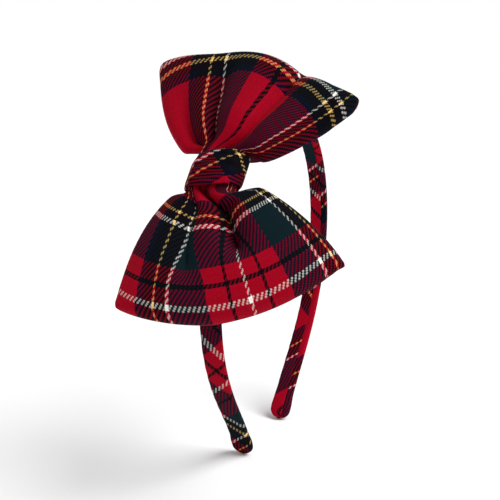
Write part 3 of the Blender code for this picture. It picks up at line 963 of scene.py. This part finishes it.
def make_cover(finish):
    """The bias-cut strip wrapped round the core, with its lap on the head side."""
    end = HALF_LENGTH - CLOTH
    straight = end - TIP_ROUNDING
    round_tip = straight + TIP_ROUNDING * np.sin(np.radians(np.arange(1, 8) * TIP_STEP))
    side = np.concatenate([np.linspace(0, straight, 150), round_tip])
    stations = np.concatenate([-side[:0:-1], side])
    inner, outer, cloth = [], [], []
    for s in stations:
        into_tip = max(abs(s) - straight, 0.0)
        half_wide = CORE_HALF_WIDTH - TIP_ROUNDING + math.sqrt(max(TIP_ROUNDING**2 - into_tip**2, 0.0))
        path = cover_section(half_wide)
        off_swell = (abs(s) - HALF_LENGTH + TIP_SWELL_FROM_END) / TIP_SWELL_OVER
        swell = 1 + TIP_SWELL * math.exp(-(off_swell**2))
        path = path * (swell, 1 + (swell - 1) * TIP_SWELL_THICKER)
        along = np.gradient(path, axis=0)
        along /= np.linalg.norm(along, axis=1, keepdims=True)
        out = np.stack([along[:, 1], -along[:, 0]], -1)
        centre, _, outward = band_place(s)
        around = np.concatenate([[0], np.cumsum(np.linalg.norm(np.diff(path, axis=0), axis=1))])
        at_edge = np.exp(-((path[:, 0] - RIPPLE_FROM) ** 2) / RIPPLE_SPREAD)
        ripple = RIPPLE * np.sin(s * 0.9 + 2.0 * np.sin(s * 0.13)) * at_edge
        for grid, height in ((inner, -CLOTH / 2), (outer, CLOTH / 2)):
            section = path + out * (height + (ripple[:, None] if height > 0 else 0.0))
            grid.append(centre + section[:, :1] * FRONT + section[:, 1:] * outward)
        across = around - around[len(around) // 2]
        bias = np.stack([(s + across) / math.sqrt(2), (s - across) / math.sqrt(2)], -1)
        cloth.append(bias + BAND_CUT)
    return shell("band_cover_cloth", np.array(inner), np.array(outer), np.array(cloth), finish)


# The gathered tips: radius and half thickness, distance in from the end, offset towards the head,
# pleats and their depth, and the place on the tartan.
TIP_RADIUS = 1.15
TIP_HALF_THICKNESS = 0.42
TIP_IN = 0.45
TIP_LOWER = 0.15
TIP_PLEATS = 5
TIP_PLEAT_DEPTH = 0.06
TIP_CUT = 134.0


def make_tip(side, finish):
    """The cloth gathered over the core's end, as a small closed bead."""
    rows, columns = 10, 24
    centre, along, outward = band_place(side * (HALF_LENGTH - TIP_IN))
    points = []
    for r in range(rows):
        lift = math.pi * (r + 0.5) / rows
        for c in range(columns):
            turn = 2 * math.pi * c / columns
            pleat = 1 + TIP_PLEAT_DEPTH * math.cos(TIP_PLEATS * turn)
            f = TIP_RADIUS * math.sin(lift) * math.cos(turn) * pleat
            n = TIP_RADIUS * math.sin(lift) * math.sin(turn) * pleat - TIP_LOWER
            beyond = along * side * TIP_HALF_THICKNESS * math.cos(lift)
            points.append(centre + beyond + FRONT * f + outward * n)
    points = np.array(points)
    flat = np.stack([(points - centre) @ FRONT, (points - centre) @ outward], -1) + side * TIP_CUT
    name = "band_tip_left" if side < 0 else "band_tip_right"
    made = mesh_object(name, points, ring_faces(rows, columns), flat, finish)
    face_outwards(made)
    return made


# The set ------------------------------------------------------------------------------------


# The floor is this low or lower, in metres, and reaches this far each way.
FLOOR_HEIGHT = -0.1346
FLOOR_REACH = 60.0


def make_floor():
    low = min(CAD_LOW.z, FLOOR_HEIGHT)
    n = Nodes("floor_paper")
    grain = n.noise(60.0, 3.0)
    n.tree.links.new(n.mix(grain, (0.93, 0.93, 0.93), (0.96, 0.96, 0.96)), n.shader.inputs["Base Color"])
    n.shader.inputs["Roughness"].default_value = 0.9
    n.shader.inputs["Specular IOR Level"].default_value = 0.1
    mesh = bpy.data.meshes.new("floor")
    reach = FLOOR_REACH
    corners = [(-reach, -reach, low), (reach, -reach, low), (reach, reach, low), (-reach, reach, low)]
    mesh.from_pydata(corners, [], [(0, 1, 2, 3)])
    mesh.materials.append(n.material)
    floor = bpy.data.objects.new("floor", mesh)
    bpy.context.scene.collection.objects.link(floor)


AZIMUTH = math.radians(-70.255)
ELEVATION = math.radians(9.101)
ROLL = math.radians(3.475)
DISTANCE = 0.368226
LOOK_AT = Vector((0.0, 0.0, -0.0661))
SHIFT_RIGHT = -0.009203
SHIFT_UP = 0.011274
LENS = 64.23
SKY = 0.45
SUN = 2.95
SUN_ANGLE = math.radians(48.0)
# How far the sun stands towards the camera, to the right and up.
SUN_FROM = (0.50, 0.85, 1.0)


def make_camera():
    back = Vector(
        (
            math.sin(AZIMUTH) * math.cos(ELEVATION),
            -math.cos(AZIMUTH) * math.cos(ELEVATION),
            math.sin(ELEVATION),
        )
    )
    level = Vector((math.cos(AZIMUTH), math.sin(AZIMUTH), 0.0))
    upright = back.cross(level)
    right = level * math.cos(ROLL) + upright * math.sin(ROLL)
    up = upright * math.cos(ROLL) - level * math.sin(ROLL)
    lens = bpy.data.cameras.new("camera")
    lens.lens = LENS
    lens.sensor_width = 36.0
    lens.clip_start = 0.01
    lens.clip_end = 50.0
    camera = bpy.data.objects.new("camera", lens)
    place = LOOK_AT + back * DISTANCE + right * SHIFT_RIGHT + up * SHIFT_UP
    turned = Matrix((right, up, back)).transposed()
    camera.matrix_world = Matrix.Translation(place) @ turned.to_4x4()
    bpy.context.scene.collection.objects.link(camera)
    bpy.context.scene.camera = camera
    return back, right, up


def light_the_set(back, right, up):
    """A broad sun from the upper right and a dim white sky that looks white to the camera. Together
    they make the floor as white as the sky, so that no horizon shows."""
    world = bpy.data.worlds.new("studio")
    world.use_nodes = True
    tree = world.node_tree
    seen = tree.nodes.new("ShaderNodeLightPath")
    strength = tree.nodes.new("ShaderNodeMapRange")
    strength.inputs["To Min"].default_value = SKY
    strength.inputs["To Max"].default_value = 1.0
    tree.links.new(seen.outputs["Is Camera Ray"], strength.inputs["Value"])
    sky = tree.nodes["Background"]
    sky.inputs["Color"].default_value = (1.0, 1.0, 1.0, 1.0)
    tree.links.new(strength.outputs["Result"], sky.inputs["Strength"])
    bpy.context.scene.world = world
    bpy.context.scene.view_settings.view_transform = "Standard"
    lamp = bpy.data.lights.new("key", "SUN")
    lamp.energy = SUN
    lamp.angle = SUN_ANGLE
    key = bpy.data.objects.new("key", lamp)
    towards = back * SUN_FROM[0] + right * SUN_FROM[1] + up * SUN_FROM[2]
    key.rotation_euler = towards.to_track_quat("Z", "Y").to_euler()
    bpy.context.scene.collection.objects.link(key)


def main():
    tartan = tartan_twill()
    plastic = mottled("core_plastic_looks", (0.75, 0.74, 0.70), 0.35, 400.0, 0.12, 0.02)
    lining = mottled("stiff_lining_looks", (0.80, 0.79, 0.76), 0.80, 1500.0, 0.20, 0.05)
    glue = mottled("clear_glue_looks", (0.72, 0.68, 0.55), 0.20, 700.0, 0.15, 0.03)
    thread = twisted_thread()
    for node, finish in (("band_core", plastic), ("bow_glue_pad", glue)):
        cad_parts[node].material_slots[0].material = finish
    bow = Bow()
    bow.settle(FULL_STEPS)
    front = make_panel("bow_front_cloth", bow, bow.front, 1, FRONT_CUT, tartan)
    back_panel = make_panel("bow_back_cloth", bow, bow.back, -1, BACK_CUT, tartan)
    stiffener = make_lining(bow, lining)
    knot = make_knot(tartan)
    cover = make_cover(tartan)
    tips = [make_tip(side, tartan) for side in (-1, 1)]
    wound = make_thread(thread)
    stitches = make_stitches(thread)
    for piece, slot, nodes in (
        (front, "tartan_twill", ("bow_front_panel",)),
        (back_panel, "tartan_twill", ("bow_back_panel",)),
        (stiffener, "stiff_lining", ("bow_interlining",)),
        (knot, "tartan_twill", ("knot_wrap",)),
        (cover, "tartan_twill", ("band_cover",)),
        (tips[0], "tartan_twill", ()),
        (tips[1], "tartan_twill", ()),
        (wound, "red_thread", ("gather_thread",)),
        (stitches, "red_thread", ("knot_stitches",)),
    ):
        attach(piece, "root")
        if nodes:
            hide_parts(*nodes)
    make_floor()
    light_the_set(*make_camera())


main()
